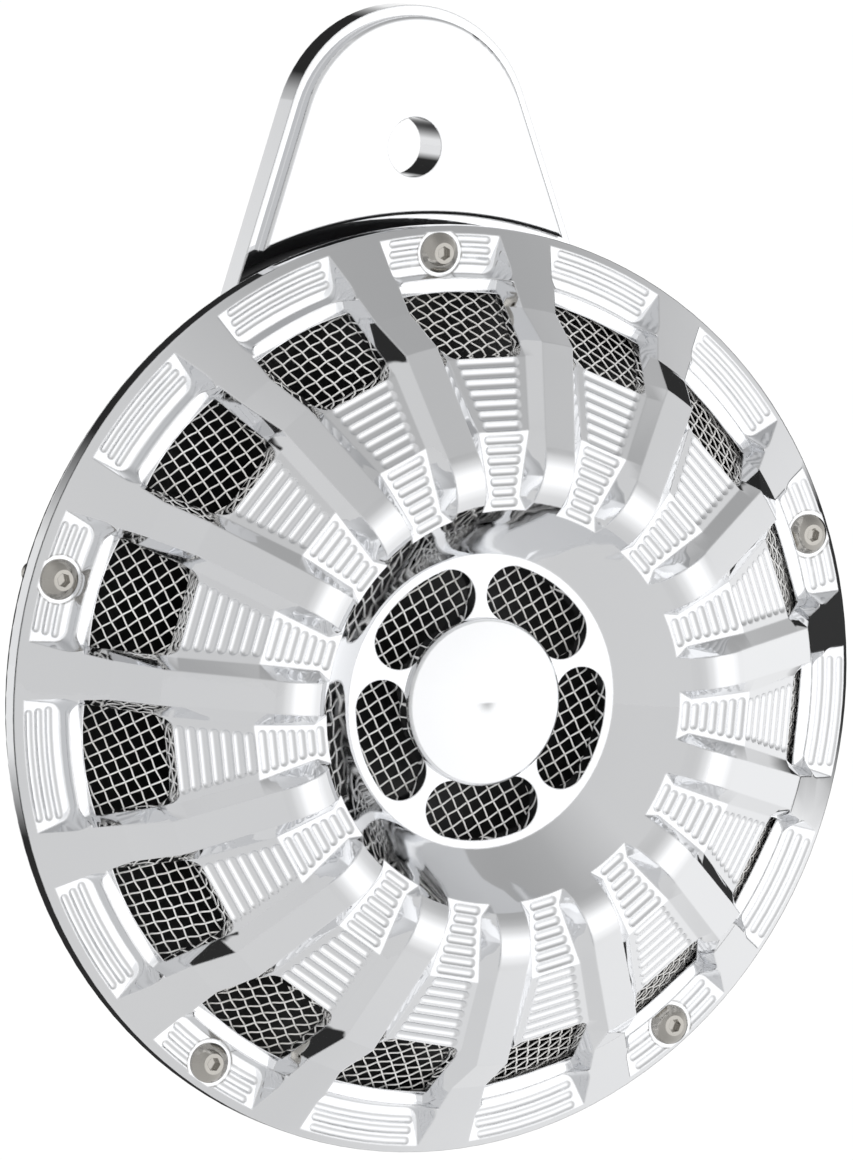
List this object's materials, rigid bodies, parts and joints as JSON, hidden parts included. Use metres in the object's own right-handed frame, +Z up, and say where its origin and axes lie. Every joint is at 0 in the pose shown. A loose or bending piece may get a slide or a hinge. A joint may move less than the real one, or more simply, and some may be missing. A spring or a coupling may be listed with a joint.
{
  "type": "motorcycle horn",
  "caption": "Round motorcycle horn behind a vented, spoked chrome cover with wire cloth windows, hung from a flat bracket with one stud hole.",
  "frame": {"origin": "centre of the bracket's stud hole, on the bracket's back face", "axes": "+Z up along the bracket, -Y along the horn's axis towards the front of the cover, +X to the right seen from the front"},
  "size_m": [0.1524, 0.0727, 0.1878],
  "materials": {
    "chrome": "mirror chrome plate on machined aluminium",
    "polished_cap": "mirror chrome plate",
    "wire_cloth": "bright woven stainless wire",
    "stainless": "polished stainless",
    "black_paint": "satin black",
    "zinc": "bright zinc plate",
    "gasket_paper": "oiled paper",
    "spring_steel": "blued spring steel",
    "soft_iron": "turned soft iron",
    "moulded_nylon": "moulded nylon",
    "copper_wire": "enamelled copper wire",
    "insulator_board": "phenolic board",
    "spring_brass": "tinned spring brass",
    "contact_metal": "tungsten"
  },
  "bodies": {
    "frame": {"bracket": "chrome", "backing_plate": "black_paint", "cover": "chrome", "screen": "wire_cloth", "cover_screws": "stainless", "centre_cap": "polished_cap", "cap_washer": "zinc", "cap_nut": "zinc", "horn_housing": "black_paint", "diaphragm_gasket": "gasket_paper", "diaphragm": "spring_steel", "clamp_ring": "zinc", "clamp_rivets": "zinc", "horn_bolts": "zinc", "horn_spacers": "zinc", "front_washers": "zinc", "back_washers": "zinc", "horn_nuts": "zinc", "pole_core": "soft_iron", "core_locknut": "zinc", "coil_bobbin": "moulded_nylon", "coil": "copper_wire", "breaker_base": "insulator_board", "breaker_insulator": "insulator_board", "fixed_contact_arm": "spring_brass", "contact_arm_root": "spring_brass", "fixed_point": "contact_metal", "breaker_rivet": "zinc", "terminal_plate": "insulator_board", "terminal_blades": "spring_brass", "terminal_rivets": "zinc"},
    "striker": {"armature": "soft_iron", "tone_disc_collar": "soft_iron", "tone_disc": "black_paint", "armature_washer": "zinc", "armature_nut": "zinc"},
    "contact_lever": {"moving_contact_arm": "spring_brass", "moving_point": "contact_metal", "arm_pip": "insulator_board"},
    "adjuster": {"adjusting_screw": "zinc"}
  },
  "joints": [
    {"name": "diaphragm_stroke", "type": "slide", "parent": "frame", "child": "striker", "axis": [0, 1, 0], "range_m": [0, 0.0006], "stiffness_N_per_m": 20000, "deforming": ["diaphragm"]},
    {"name": "contact_lever_hinge", "type": "hinge", "parent": "frame", "child": "contact_lever", "pos_m": [0, -0.00885, -0.0636], "axis": [1, 0, 0], "range_deg": [0, 3]},
    {"name": "adjuster_turn", "type": "hinge", "parent": "frame", "child": "adjuster", "pos_m": [-0.02235, -0.003, -0.11084], "axis": [0, -1, 0], "range_deg": [-90, 90]}
  ],
  "couplings": [
    {"joint": "contact_lever_hinge", "follows": "diaphragm_stroke", "rad_per_m": 85.47}
  ]
}
